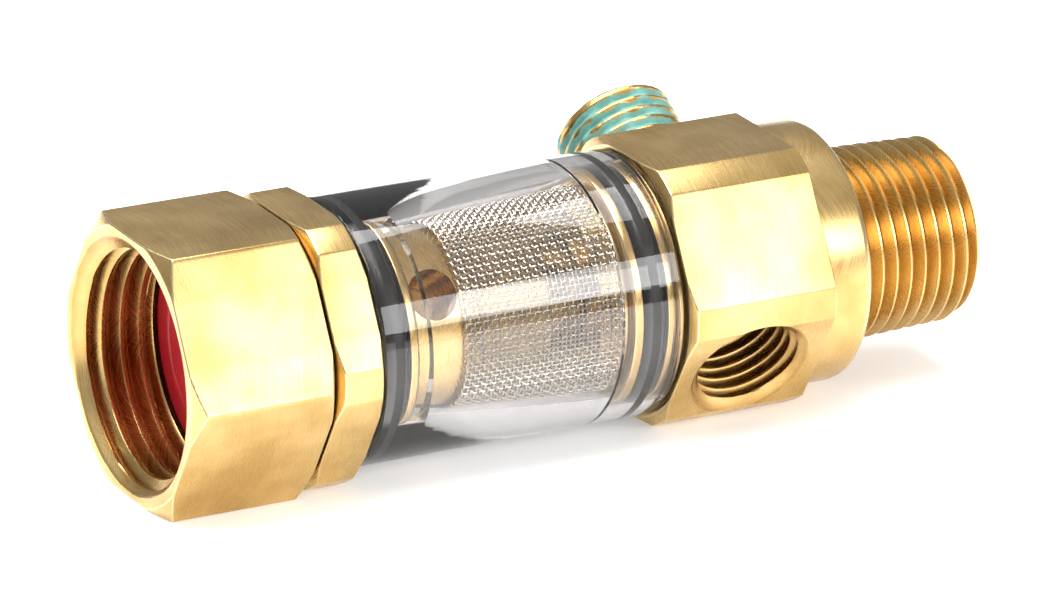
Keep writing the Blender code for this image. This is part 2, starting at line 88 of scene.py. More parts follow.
# ---- sizes inside the pieces -------------------------------------------------------------------
# Radii and lengths that follow the frame's own solids, where they can't be read from a box.
BACK_HOLE, BACK_WALL = 9.9 * MM, 1.6 * MM                   # the nut's rear hole and the wall round it
RING_BORE = 11.3 * MM
RECESS, RECESS_DEPTH = 13.6 * MM, 12.3 * MM                 # for the washer
HOSE_THREAD_END = 8.8 * MM
MOUTH_EDGE = 0.12 * MM
WASHER_HOLE, WASHER_BEVEL = 5 * MM, 0.8 * MM
BEAD_IN, BEAD_OUT, BEAD_HEIGHT = 9.2 * MM, 10 * MM, 0.14 * MM   # the washer's raised ring
NUT_CHAMFER = math.tan(math.radians(30))
BODY_CHAMFER = math.tan(math.radians(25))
TAIL, RING_GROOVE, RING_GROOVE_HALF = 9.6 * MM, 8.7 * MM, 1.05 * MM
SEAL_GROOVE, SEAL_GROOVE_HALF = 2.5 * MM, 1.5 * MM          # depth, and half the width
HUB, STEM, NOSE = 10.25 * MM, 8.8 * MM, 6 * MM
INLET_BORE, NOSE_BORE = 5 * MM, 3.9 * MM
SCREEN_OVERLAP = 2 * MM                                     # of the screen over the hub
STEM_GAP = 4.95 * MM                                        # from the stem's end to the outlet's boss
INLET_BORE_REACH = 6.55 * MM                                # past the spigot's end
BORE_POINT = 3 * MM                                         # the cone a drill leaves
HOLES, HOLE_TURN = 4, 34                                    # cross holes, and the first one's direction
FEED_HOLE, FEED_REACH = 2.65 * MM, 3.3 * MM
DRAIN_HOLE = 1.8 * MM
HOLE_FLOOR = 0.3 * MM                                       # how far past its radius a drill starts
BODY_BORE, BOSS, COLLAR = 6.35 * MM, 10.25 * MM, 14.5 * MM
BLOCK_END, COLLAR_END, COLLAR_ROUND = 8.8 * MM, 14.35 * MM, 0.9 * MM
RELIEF, RELIEF_LENGTH = 9.75 * MM, 0.75 * MM                # behind the pipe thread
PIPE_TAPER, PIPE_CHAMFER, PIPE_BORE_CHAMFER = 1 / 32, 1.1 * MM, 0.5 * MM
FRONT_PORT, REAR_PORT = -30, 150                            # directions of the two ports
PORT_FLOOR, COUNTERSINK, PORT_NARROWING = 3 * MM, 1.15 * MM, 0.3 * MM
PLUG_SEAT = 8.4 * MM
PLUG_LENGTH, SOCKET_DEPTH, SOCKET_HALF = 13 * MM, 5 * MM, 3.175 * MM
PLUG_NARROWING, PLUG_THREAD_DEPTH = 0.25 * MM, 0.8 * MM
SEAL_STEPS, SEAL_REACH, SEAL_PRESS = 32, 2.4 * MM, 0.012 * MM


# ---- sizes and colours a user would change -----------------------------------------------------
def length(name, millimetres, description):
    """A length property, given in millimetres."""
    return bpy.props.FloatProperty(
        name=name, description=description, default=millimetres * MM, min=0.0, unit="LENGTH", precision=5
    )


def srgb(code):
    """A hex colour as linear numbers."""
    parts = [int(code[i:i + 2], 16) / 255 for i in (1, 3, 5)]
    return [c / 12.92 if c <= 0.04045 else ((c + 0.055) / 1.055) ** 2.4 for c in parts]


def colour(name, code, description):
    """A colour property, given as an sRGB hex code."""
    return bpy.props.FloatVectorProperty(
        name=name, description=description, default=srgb(code), size=3, min=0.0, max=1.0, subtype="COLOR"
    )


class StrainerBar(bpy.types.PropertyGroup):
    """The hexagon bar and how its pieces are turned."""

    flats: length("Across flats", 29.4, "Width of the hexagon bar")
    nut_corners: length("Nut corners", 33.85, "Width across the nut's corners")
    body_corners: length("Body corners", 32.1, "Width across the bodies' turned corners")
    nut_face: length("Nut face", 30.2, "Diameter of the nut's end faces")
    body_face: length("Body face", 29.8, "Diameter of the bodies' end faces")
    edge: length("Edge", 0.16, "How far a sharp edge is broken")
    shoulder: length("Shoulder gap", 0.3, "Space between the tube and each body")


class StrainerThreads(bpy.types.PropertyGroup):
    """The four screw threads."""

    hose_pitch: length("Hose pitch", 2.209, "One turn of the 11.5 per inch hose thread")
    hose_depth: length("Hose depth", 1.32, "Crest to root of the hose thread")
    hose_mouth: length("Hose mouth", 28.0, "Diameter of the nut's mouth")
    hose_crest: length("Hose crest", 24.6, "Bore at the crests of the hose thread")
    pipe_pitch: length("Pipe pitch", 1.814, "One turn of the 14 per inch pipe thread")
    pipe_depth: length("Pipe depth", 1.28, "Crest to root of the pipe thread")
    pipe_crest: length("Pipe crest", 21.64, "Diameter over the crests at the collar")
    port_pitch: length("Port pitch", 1.411, "One turn of the 18 per inch port thread")
    port_depth: length("Port depth", 0.95, "Crest to root of the port thread")
    port_crest: length("Port crest", 11.3, "Bore at the crests of the port thread")
    port_rim: length("Port rim", 13.9, "Diameter of the port's countersink")
    plug_crest: length("Plug crest", 13.7, "Diameter over the crests of the plug")
    plug_proud: length("Plug proud", 7.0, "How far the plug stands out")


class StrainerTube(bpy.types.PropertyGroup):
    """The clear tube, its seals and the woven screen."""

    wall: length("Wall", 3.15, "Wall of the clear tube")
    seat_step: length("Seat step", 0.85, "Extra bore where the seals sit")
    seat_depth: length("Seat depth", 6.6, "Length of the wider bore at each end")
    tube_edge: length("Tube edge", 0.35, "Chamfer of the tube's rims")
    seal_section: length("Seal section", 2.56, "Thickness of a squeezed seal ring")
    wire: length("Wire", 0.2, "Wire of the woven screen")
    weave: length("Weave", 0.5, "Distance between the screen's wires")


class StrainerColours(bpy.types.PropertyGroup):
    """Colours of the finishes."""

    brass: colour("Brass", "#DDBD80", "Freshly cut brass")
    brass_dull: colour("Dull brass", "#C2A063", "Brass that has been handled")
    # Darker brass, used for random pits and as painted shade at the bottom of thread grooves.
    brass_pit_and_groove_shade: colour("Deep brass", "#9A6A30", "Brass in the bottom of grooves")
    steel: colour("Steel", "#C8C1B5", "Woven stainless wire")
    black: colour("Black rubber", "#161514", "Seal rings")
    red: colour("Red rubber", "#C4202F", "Hose washer")
    sealant: colour("Sealant", "#7DB3AB", "Dried thread sealant")
    sealant_dark: colour("Sealant in grooves", "#5A958D", "Sealant where it is thin")
    floor: colour("Floor", "#FBFBFB", "Studio floor")


class StrainerStage(bpy.types.PropertyGroup):
    """Camera and light."""

    lens: bpy.props.FloatProperty(name="Lens", description="Focal length", default=269.47, min=1.0)
    key: bpy.props.FloatProperty(name="Front softbox", description="Power in watts", default=9.0, min=0.0)
    top: bpy.props.FloatProperty(name="Top softbox", description="Power in watts", default=36.0, min=0.0)
    fill: bpy.props.FloatProperty(name="Room", description="Brightness of the room", default=0.5, min=0.0)


# ---- outlines and spinning ---------------------------------------------------------------------
SECTOR = 60                 # degrees from one flat to the next
TURN_STEP = 2.5             # degrees between columns on a plain stretch
UV_RADIUS = 14.7 * MM       # the radius at which the map's two directions have one scale
ROUND_POINTS = 3            # extra rows in a broken edge
SHARP = math.radians(34)
TURNED, DRAWN = 0, 1        # material indexes of turned and of drawn faces


def sector_columns():
    """Angles round one flat, closer together where the flat ends and where two flats meet."""
    plain = np.arange(-22.5, 22.6, TURN_STEP)
    side = np.array([23.05, 23.36, 23.66, 23.96, 24.27, 25.8, 27.4, 28.6, 29.2, 29.65])
    return np.sort(np.concatenate([plain, side, -side, [30.0]]))


def all_columns():
    """Angles of all columns for a full turn, both ends included."""
    one = sector_columns()
    turns = [one + SECTOR * k for k in range(6)]
    return np.radians(np.concatenate([[-30.0], *turns]))


COLUMNS = all_columns()
FROM_FLAT = np.abs((np.degrees(COLUMNS) + 30) % SECTOR - 30)


def hexed(flats, corners, soften):
    """Radius at each column of a hexagon whose corners are turned down, softened where they meet."""
    flat = flats / 2 / np.cos(np.radians(FROM_FLAT))
    corner = np.full_like(flat, corners / 2)
    share = np.clip(0.5 + 0.5 * (corner - flat) / soften, 0, 1)
    return corner * (1 - share) + flat * share - soften * share * (1 - share)


class Outline:
    """Half-section of a turned piece: radius and place of each corner, walked once round."""

    def __init__(self, turned_corners=False):
        self.items = []
        self.turned_corners = turned_corners

    def to(self, radius, place, edge=0.0, surface=TURNED):
        """Go on to a corner, broken by edge. The surface is what starts here, turned or drawn."""
        flat = np.zeros(len(COLUMNS))
        self.items.append({"r": flat + radius, "x": flat + place, "edge": edge, "surface": surface})
        return self

    def thread(self, blank, pitch, rows, crests, fades):
        """Go along a threaded stretch, whose blank is these (radius, place) points before it is cut.

        crests and fades are pairs, for the lower and the higher end: the crest's radius, and how far
        from the end the cut starts.
        """
        radii = np.array([p[0] for p in blank])
        places = np.array([p[1] for p in blank])
        rising = places[-1] > places[0]
        low, high = min(places[0], places[-1]), max(places[0], places[-1])
        order = slice(None) if rising else slice(None, None, -1)
        first = math.floor((low / pitch - 1) * rows)
        last = math.ceil(high / pitch * rows)
        phase = (np.arange(first, last + 1) / rows)[order]
        turn = COLUMNS / (2 * math.pi) + 1 / 12
        x = np.clip(pitch * (phase[None, :] + turn[:, None]), low, high)
        r = np.interp(x, places[order], radii[order])
        rise = np.clip((x - low) / fades[0], 0, 1)
        fall = np.clip((high - x) / fades[1], 0, 1)
        line = np.interp(x, [low, high], crests)
        found = {"r": r, "x": x, "phase": phase, "crest": line, "cut": rise * fall, "surface": TURNED}
        self.items.append(found)
        return self

    def rows(self):
        """All rows as arrays, with the corners broken."""
        count = len(self.items)
        found = []
        for i, item in enumerate(self.items):
            if "phase" in item:
                for k in range(len(item["phase"])):
                    extra = (item["phase"][k], item["crest"][:, k], item["cut"][:, k])
                    found.append((item["r"][:, k], item["x"][:, k], item["surface"], 0.0, *extra))
                continue
            if item["edge"] <= 0:
                found.append((item["r"], item["x"], item["surface"], 0.0, 0.0, item["r"], 0.0 * item["r"]))
                continue
            before, after = self.items[i - 1], self.items[(i + 1) % count]
            here = np.stack([item["r"], item["x"]])
            back = np.stack([end_of(before["r"], -1), end_of(before["x"], -1)]) - here
            ahead = np.stack([end_of(after["r"], 0), end_of(after["x"], 0)]) - here
            back_length = np.maximum(np.linalg.norm(back, axis=0), 1e-9)
            ahead_length = np.maximum(np.linalg.norm(ahead, axis=0), 1e-9)
            reach = np.minimum(item["edge"], 0.45 * np.minimum(back_length, ahead_length))
            start = here + back / back_length * reach
            end = here + ahead / ahead_length * reach
            for k in range(ROUND_POINTS + 1):
                t = k / ROUND_POINTS
                point = start * (1 - t) ** 2 + 2 * t * (1 - t) * here + end * t ** 2
                last = k == ROUND_POINTS
                surface = item["surface"] if last else self.items[i - 1]["surface"]
                # How near a row is to the middle of a broken edge; the brass finish lightens these rows, partly
                # as rubbed wear and partly as a painted highlight.
                worn_and_highlit = 1.0 - abs(2 * t - 1)
                found.append((point[0], point[1], surface, worn_and_highlit, 0.0, point[0], 0.0 * point[0]))
        return found


def end_of(values, side):
    """First or last column of a threaded stretch, or the values themselves."""
    return values[:, side] if values.ndim == 2 else values


def spin(name, outline):
    """Spin an outline into a mesh object, with a map in metres and the attributes that threads need."""
    rows = outline.rows()
    radius = np.stack([row[0] for row in rows], axis=1)
    place = np.stack([row[1] for row in rows], axis=1)
    columns, count = radius.shape
    cos, sin = np.cos(COLUMNS)[:, None], np.sin(COLUMNS)[:, None]
    points = np.stack([radius * cos, radius * sin, place], axis=2).reshape(-1, 3)
    step_r = np.diff(radius, axis=1, append=radius[:, :1])
    step_x = np.diff(place, axis=1, append=place[:, :1])
    along = np.concatenate([np.zeros((columns, 1)), np.cumsum(np.hypot(step_r, step_x), axis=1)], axis=1)
    c, k = np.meshgrid(np.arange(columns - 1), np.arange(count), indexing="ij")
    c, k = c.ravel(), k.ravel()
    n = (k + 1) % count
    faces = np.stack([c * count + k, (c + 1) * count + k, (c + 1) * count + n, c * count + n], axis=1)
    across = COLUMNS * UV_RADIUS
    uv = np.stack([
        np.stack([across[c], along[c, k]], axis=1),
        np.stack([across[c + 1], along[c + 1, k]], axis=1),
        np.stack([across[c + 1], along[c + 1, k + 1]], axis=1),
        np.stack([across[c], along[c, k + 1]], axis=1),
    ], axis=1)
    mesh = bpy.data.meshes.new(name)
    mesh.from_pydata(points.tolist(), [], faces.tolist())
    mesh.uv_layers.new(name="UVMap").data.foreach_set("uv", uv.astype(np.float32).ravel())
    surface = np.array([row[2] for row in rows])[k]
    middle = (FROM_FLAT[c] + FROM_FLAT[c + 1]) / 2
    flat_end = 23.66 if outline.turned_corners else 30.0
    drawn = (surface == DRAWN) & (middle < flat_end)
    mesh.polygons.foreach_set("material_index", np.where(drawn, DRAWN, TURNED))
    # Broken-edge rows, lightened later by the brass finish: partly wear, partly painted highlight.
    edge_wear_and_highlight = np.tile(np.array([row[3] for row in rows], np.float32), (columns, 1))
    phase = np.tile(np.array([row[4] for row in rows], np.float32), (columns, 1))
    crest = np.stack([row[5] for row in rows], axis=1).astype(np.float32)
    cut = np.stack([row[6] for row in rows], axis=1).astype(np.float32)
    for key, values in (("edge_wear_and_highlight", edge_wear_and_highlight), ("phase", phase), ("cut", cut), ("crest", crest)):
        mesh.attributes.new(key, "FLOAT", "POINT").data.foreach_set("value", values.ravel())
    shape = bmesh.new()
    shape.from_mesh(mesh)
    bmesh.ops.remove_doubles(shape, verts=shape.verts, dist=0.000002)
    bmesh.ops.recalc_face_normals(shape, faces=shape.faces)
    shape.to_mesh(mesh)
    shape.free()
    obj = bpy.data.objects.new(name, mesh)
    bpy.context.scene.collection.objects.link(obj)
    return obj


def along_flow(x=0.0):
    """Matrix that lays a piece's own +Z along the flow axis, starting at x."""
    return Matrix.Translation((x, 0, AXIS_HEIGHT)) @ Matrix.Rotation(math.radians(90), 4, "Y")


def along_port(turn):
    """Matrix that points a piece's own +Z away from the flow axis, turned up from -Y by this angle."""
    return Matrix.Translation((0, 0, AXIS_HEIGHT)) @ Matrix.Rotation(math.radians(90 - turn), 4, "X")


def bake(obj):
    """Replace an object's mesh by its evaluated one and drop its modifiers."""
    bpy.context.view_layer.update()
    evaluated = obj.evaluated_get(bpy.context.evaluated_depsgraph_get())
    mesh = bpy.data.meshes.new_from_object(evaluated)
    obj.modifiers.clear()
    obj.data = mesh
    return obj


def carve(obj, cutter):
    """Cut another shape out of a piece and remove that shape."""
    modifier = obj.modifiers.new("Cut", "BOOLEAN")
    modifier.operation = "DIFFERENCE"
    modifier.solver = "MANIFOLD"
    modifier.object = cutter
    bake(obj)
    bpy.data.objects.remove(cutter, do_unlink=True)
    return obj


def settle(obj, body, node, materials):
    """Give a finished piece its shading, materials and body, and hide the frame's piece it stands for."""
    obj.data.materials.clear()
    for material in materials:
        obj.data.materials.append(material)
    obj.data.shade_smooth()
    obj.data.set_sharp_from_angle(angle=SHARP)
    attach(obj, body)
    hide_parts(node)
    return obj


# ---- node trees --------------------------------------------------------------------------------
MATH, NOISE = "ShaderNodeMath", "ShaderNodeTexNoise"
RANGE, MIX = "ShaderNodeMapRange", "ShaderNodeMix"
PLUS, MINUS, TIMES, OVER = [{"operation": name} for name in ("ADD", "SUBTRACT", "MULTIPLY", "DIVIDE")]
COLOURS = {"data_type": "RGBA"}
FLOATS = {"data_type": "FLOAT"}
MIX_A, MIX_B = 6, 7         # a colour mix's two inputs
RESULT_COLOUR = 2           # and its output
OBJECT_COORDS = 3           # a texture coordinate node's object output
FACTOR = 2                  # an attribute node's factor output
WIRE_SIDES = 5


def add(tree, kind, settings=None, inputs=None, out=0):
    """Add a node, set its properties, fill or connect its inputs, and return one of its outputs."""
    node = tree.nodes.new(kind)
    for key, value in (settings or {}).items():
        setattr(node, key, value)
    for key, value in (inputs or {}).items():
        if isinstance(value, bpy.types.NodeSocket):
            tree.links.new(value, node.inputs[key])
        else:
            node.inputs[key].default_value = value
    return node.outputs[out] if node.outputs else node


def geometry_tree(name, sizes):
    """An empty geometry tree with one geometry in and out, and these named inputs."""
    tree = bpy.data.node_groups.new(name, "GeometryNodeTree")
    tree.interface.new_socket(name="Geometry", in_out="INPUT", socket_type="NodeSocketGeometry")
    for key, kind in sizes:
        tree.interface.new_socket(name=key, in_out="INPUT", socket_type=kind)
    tree.interface.new_socket(name="Geometry", in_out="OUTPUT", socket_type="NodeSocketGeometry")
    start = tree.nodes.new("NodeGroupInput")
    return tree, start


def run_tree(obj, tree, values):
    """Run a geometry tree on an object with these inputs and keep the result as a plain mesh."""
    modifier = obj.modifiers.new(tree.name, "NODES")
    modifier.node_group = tree
    for item in tree.interface.items_tree:
        if item.in_out == "INPUT" and item.name in values:
            modifier[item.identifier] = values[item.name]
    return bake(obj)


def thread_tree():
    """Tree that cuts a screw thread into a spun blank, from the attributes that spin() leaves."""
    numbers = ("Depth", "Crest flat", "Root flat", "Side")
    sizes = [(name, "NodeSocketFloat") for name in numbers] + [("Material", "NodeSocketMaterial")]
    tree, start = geometry_tree("Cut thread", sizes)
    given = start.outputs
    phase, crest, cut = [
        add(tree, "GeometryNodeInputNamedAttribute", FLOATS, {"Name": name})
        for name in ("phase", "crest", "cut")
    ]
    turn = add(tree, MATH, {"operation": "FRACT"}, {0: phase})
    middle = add(tree, MATH, MINUS, {0: turn, 1: 0.5})
    tooth = add(tree, MATH, {"operation": "ABSOLUTE"}, {0: middle})
    flat = add(tree, MATH, MINUS, {0: 0.5, 1: given["Crest flat"]})
    flank = add(tree, RANGE, {"clamp": True},
                {"Value": tooth, "From Min": given["Root flat"], "From Max": flat,
                 "To Min": 1.0, "To Max": 0.0})
    deep = add(tree, MATH, TIMES, {0: flank, 1: given["Depth"]})
    masked = add(tree, MATH, TIMES, {0: deep, 1: cut})
    side = given["Side"]
    crest_side = add(tree, MATH, TIMES, {0: crest, 1: side})
    target = add(tree, MATH, MINUS, {0: crest_side, 1: masked})
    position = add(tree, "GeometryNodeInputPosition")
    flat_part = add(tree, "ShaderNodeVectorMath", {"operation": "MULTIPLY"}, {0: position, 1: (1, 1, 0)})
    radius = add(tree, "ShaderNodeVectorMath", {"operation": "LENGTH"}, {0: flat_part}, out=1)
    radius_side = add(tree, MATH, TIMES, {0: radius, 1: side})
    new_side = add(tree, MATH, {"operation": "MINIMUM"}, {0: radius_side, 1: target})
    new_radius = add(tree, MATH, TIMES, {0: new_side, 1: side})
    change = add(tree, MATH, OVER, {0: new_radius, 1: radius})
    less = add(tree, MATH, MINUS, {0: change, 1: 1.0})
    offset = add(tree, "ShaderNodeVectorMath", {"operation": "SCALE"}, {0: flat_part, "Scale": less})
    more = {**FLOATS, "operation": "GREATER_THAN"}
    is_cut = add(tree, "FunctionNodeCompare", more, {0: cut, 1: 0.0})
    groove = add(tree, MATH, TIMES, {0: flank, 1: cut})
    moved = add(tree, "GeometryNodeSetPosition", {},
                {"Geometry": given["Geometry"], "Selection": is_cut, "Offset": offset})
    stored = add(tree, "GeometryNodeStoreNamedAttribute", {"data_type": "FLOAT", "domain": "POINT"},
                 {"Geometry": moved, "Name": "groove", "Value": groove})
    real = add(tree, "GeometryNodeRealizeInstances", {}, {"Geometry": stored})
    painted = add(tree, "GeometryNodeSetMaterial", {}, {"Geometry": real, "Material": given["Material"]})
    add(tree, "NodeGroupOutput", {}, {"Geometry": painted})
    return tree


def cut_thread(obj, depth, crest_flat, root_flat, side):
    """Cut the thread of a spun piece, outside (side 1) or inside (side -1)."""
    tree = bpy.data.node_groups.get("Cut thread") or thread_tree()
    kept = np.zeros(len(obj.data.polygons), np.int32)
    obj.data.polygons.foreach_get("material_index", kept)
    metal = finish("Turned brass", turned_brass)
    values = {"Depth": depth, "Crest flat": crest_flat, "Root flat": root_flat, "Side": side,
              "Material": metal}
    run_tree(obj, tree, values)
    obj.data.materials.clear()
    obj.data.materials.append(metal)
    obj.data.materials.append(metal)
    obj.data.polygons.foreach_set("material_index", kept)
    return obj


def weave_tree(name, hoops):
    """Tree that weaves round wires on a sleeve: the hoops, or the wires that run along it."""
    sizes = [("Wires", "NodeSocketInt"), ("Points", "NodeSocketInt"), ("Radius", "NodeSocketFloat"),
             ("Length", "NodeSocketFloat"), ("Wire", "NodeSocketFloat"), ("Material", "NodeSocketMaterial")]
    tree, start = geometry_tree(name, sizes)
    given = start.outputs
    if hoops:
        one = add(tree, "GeometryNodeCurvePrimitiveCircle", {"mode": "RADIUS"},
                  {"Resolution": given["Points"], "Radius": 1.0})
    else:
        line = add(tree, "GeometryNodeCurvePrimitiveLine", {"mode": "POINTS"},
                   {"Start": (0, 0, 0), "End": (0, 0, 1)})
        one = add(tree, "GeometryNodeResampleCurve", {"mode": "COUNT"},
                  {"Curve": line, "Count": given["Points"]})
    places = add(tree, "GeometryNodeMeshLine", {"mode": "OFFSET"},
                 {"Count": given["Wires"], "Offset": (0, 0, 0)})
    many = add(tree, "GeometryNodeInstanceOnPoints", {}, {"Points": places, "Instance": one})
    index = add(tree, "GeometryNodeInputIndex")
    named = add(tree, "GeometryNodeStoreNamedAttribute", {"data_type": "FLOAT", "domain": "INSTANCE"},
                {"Geometry": many, "Name": "wire_number", "Value": index})
    loose = add(tree, "GeometryNodeRealizeInstances", {}, {"Geometry": named})
    number = add(tree, "GeometryNodeInputNamedAttribute", FLOATS, {"Name": "wire_number"})
    step = add(tree, "GeometryNodeSplineParameter", out=2)
    half_turns = add(tree, MATH, TIMES, {0: step, 1: math.pi / 2})
    odd = add(tree, MATH, TIMES, {0: number, 1: math.pi})
    both = add(tree, MATH, PLUS, {0: half_turns, 1: odd})
    wave = add(tree, MATH, {"operation": "COSINE"}, {0: both})
    swing = add(tree, MATH, TIMES, {0: given["Wire"], 1: -0.5 if hoops else 0.5})
    out = add(tree, MATH, TIMES, {0: wave, 1: swing})
    radius = add(tree, MATH, PLUS, {0: given["Radius"], 1: out})
    round_count = given["Points"] if hoops else given["Wires"]
    round_index = step if hoops else number
    along_index = number if hoops else step
    along_count = given["Wires"] if hoops else given["Points"]
    full = add(tree, MATH, TIMES, {0: round_index, 1: 2 * math.pi})
    angle = add(tree, MATH, OVER, {0: full, 1: round_count})
    last = add(tree, MATH, MINUS, {0: along_count, 1: 1.0})
    share = add(tree, MATH, OVER, {0: along_index, 1: last})
    place = add(tree, MATH, TIMES, {0: share, 1: given["Length"]})
    cos = add(tree, MATH, {"operation": "COSINE"}, {0: angle})
    sin = add(tree, MATH, {"operation": "SINE"}, {0: angle})
    x = add(tree, MATH, TIMES, {0: radius, 1: cos})
    y = add(tree, MATH, TIMES, {0: radius, 1: sin})
    point = add(tree, "ShaderNodeCombineXYZ", {}, {"X": x, "Y": y, "Z": place})
    bent = add(tree, "GeometryNodeSetPosition", {}, {"Geometry": loose, "Position": point})
    half_wire = add(tree, MATH, TIMES, {0: given["Wire"], 1: 0.5})
    section = add(tree, "GeometryNodeCurvePrimitiveCircle", {"mode": "RADIUS"},
                  {"Resolution": WIRE_SIDES, "Radius": half_wire})
    swept = add(tree, "GeometryNodeCurveToMesh", {},
                {"Curve": bent, "Profile Curve": section, "Fill Caps": True})
    real = add(tree, "GeometryNodeRealizeInstances", {}, {"Geometry": swept})
    painted = add(tree, "GeometryNodeSetMaterial", {}, {"Geometry": real, "Material": given["Material"]})
    add(tree, "NodeGroupOutput", {}, {"Geometry": painted})
    return tree


# ---- finishes ----------------------------------------------------------------------------------
# Near-white brass mixed onto broken edges: partly rubbed wear, partly a painted highlight on the edges.
WORN_AND_HIGHLIT_BRASS = srgb("#F9EFCE")
ACRYLIC_TINT = srgb("#FBF9F9")


def finish(name, make):
    """A material of this name, made once. Its own function returns the shader's inputs."""
    found = bpy.data.materials.get(name)
    if found is not None:
        return found
    material = bpy.data.materials.new(name)
    material.use_nodes = True
    material.node_tree.nodes.clear()
    tree = material.node_tree
    shader = add(tree, "ShaderNodeBsdfPrincipled", {}, make(tree))
    add(tree, "ShaderNodeOutputMaterial", {}, {"Surface": shader})
    return material


def brass(tree, across, along, streak, specks):
    """Free-cutting brass bar. across and along are the size of its marks, streak and specks their depth."""
    tones = bpy.context.scene.strainer_colours
    metres = add(tree, "ShaderNodeUVMap", {"uv_map": "UVMap"})
    scaled = add(tree, "ShaderNodeMapping", {}, {"Vector": metres, "Scale": (1 / across, 1 / along, 1)})
    marks = add(tree, NOISE, {}, {"Vector": scaled, "Scale": 1.0, "Detail": 3.0, "Roughness": 0.6})
    wide = add(tree, "ShaderNodeMapping", {}, {"Vector": metres, "Scale": (0.22 / across, 0.22 / along, 1)})
    bands = add(tree, NOISE, {}, {"Vector": wide, "Scale": 1.0, "Detail": 2.0, "Roughness": 0.5})
    place = add(tree, "ShaderNodeTexCoord", out=OBJECT_COORDS)
    cloud = add(tree, NOISE, {}, {"Vector": place, "Scale": 1 / (7 * MM), "Detail": 4.0})
    grit = add(tree, NOISE, {},
               {"Vector": place, "Scale": 1 / (0.45 * MM), "Detail": 5.0, "Roughness": 0.7})
    groove = add(tree, "ShaderNodeAttribute", {"attribute_name": "groove"}, out=FACTOR)
    worn_and_highlit = add(tree, "ShaderNodeAttribute", {"attribute_name": "edge_wear_and_highlight"}, out=FACTOR)
    share = add(tree, RANGE, {}, {"Value": cloud, "From Min": 0.35, "From Max": 0.65})
    base = add(tree, MIX, COLOURS,
               {"Factor": share, MIX_A: (*tones.brass, 1), MIX_B: (*tones.brass_dull, 1)}, out=RESULT_COLOUR)
    # Thread grooves darkened towards their roots: painted shade.
    deep = add(tree, MATH, TIMES, {0: groove, 1: 0.55})
    groove_shaded = add(tree, MIX, COLOURS,
                  {"Factor": deep, MIX_A: base, MIX_B: (*tones.brass_pit_and_groove_shade, 1)}, out=RESULT_COLOUR)
    pits = add(tree, RANGE, {}, {"Value": grit, "From Min": 0.62, "From Max": 0.72})
    pitted = add(tree, MATH, TIMES, {0: pits, 1: min(1.0, specks * 0.5)})
    spotted = add(tree, MIX, COLOURS,
                  {"Factor": pitted, MIX_A: groove_shaded, MIX_B: (*tones.brass_pit_and_groove_shade, 1)}, out=RESULT_COLOUR)
    # Broken edges lightened halfway to near-white brass: partly rubbed wear, partly a painted highlight.
    bright = add(tree, MATH, TIMES, {0: worn_and_highlit, 1: 0.5})
    edged = add(tree, MIX, COLOURS,
                {"Factor": bright, MIX_A: spotted, MIX_B: (*WORN_AND_HIGHLIT_BRASS, 1)}, out=RESULT_COLOUR)
    gloss = add(tree, RANGE, {},
                {"Value": marks, "From Min": 0.3, "From Max": 0.7, "To Min": 0.2, "To Max": 0.36})
    both = add(tree, MATH, PLUS, {0: marks, 1: bands})
    first = add(tree, "ShaderNodeBump", {}, {"Height": both, "Strength": 1.0, "Distance": streak})
    second = add(tree, "ShaderNodeBump", {},
                 {"Height": grit, "Strength": specks, "Distance": 0.02 * MM, "Normal": first})
    return {"Base Color": edged, "Metallic": 1.0, "Roughness": gloss, "Normal": second}


def turned_brass(tree):
    """Brass cut on a lathe: fine feed marks round the axis, 0.12 mm apart."""
    return brass(tree, 9 * MM, 0.12 * MM, 0.006 * MM, 0.12)


def drawn_brass(tree):
    """Drawn bar: long soft streaks along the flats, 0.5 mm wide, where the die left them."""
    return brass(tree, 0.5 * MM, 14 * MM, 0.02 * MM, 0.3)


def scuffed_brass(tree):
    """Drawn bar that was tumbled with others: short dents and scuffs over the streaks."""
    return brass(tree, 0.9 * MM, 7 * MM, 0.012 * MM, 0.75)


def coated_brass(tree):
    """Plug thread under dried sealant: a matt teal paste with bare brass where the crests rubbed."""
    tones = bpy.context.scene.strainer_colours
    place = add(tree, "ShaderNodeTexCoord", out=OBJECT_COORDS)
    cloud = add(tree, NOISE, {},
                {"Vector": place, "Scale": 1 / (2.2 * MM), "Detail": 4.0, "Roughness": 0.65})
    grain = add(tree, NOISE, {}, {"Vector": place, "Scale": 1 / (0.5 * MM), "Detail": 3.0})
    covered = add(tree, "ShaderNodeAttribute", {"attribute_name": "sealant"}, out=FACTOR)
    more = add(tree, MATH, PLUS, {0: covered, 1: cloud})
    share = add(tree, RANGE, {}, {"Value": more, "From Min": 0.86, "From Max": 0.96})
    shade = add(tree, MIX, COLOURS,
                {"Factor": grain, MIX_A: (*tones.sealant, 1), MIX_B: (*tones.sealant_dark, 1)}, out=RESULT_COLOUR)
    base = add(tree, MIX, COLOURS,
               {"Factor": share, MIX_A: (*tones.brass_dull, 1), MIX_B: shade}, out=RESULT_COLOUR)
    metal = add(tree, MATH, MINUS, {0: 1.0, 1: share})
    gloss = add(tree, RANGE, {}, {"Value": share, "To Min": 0.28, "To Max": 0.55})
    bump = add(tree, "ShaderNodeBump", {}, {"Height": cloud, "Strength": 0.6, "Distance": 0.15 * MM})
    return {"Base Color": base, "Metallic": metal, "Roughness": gloss, "Normal": bump}


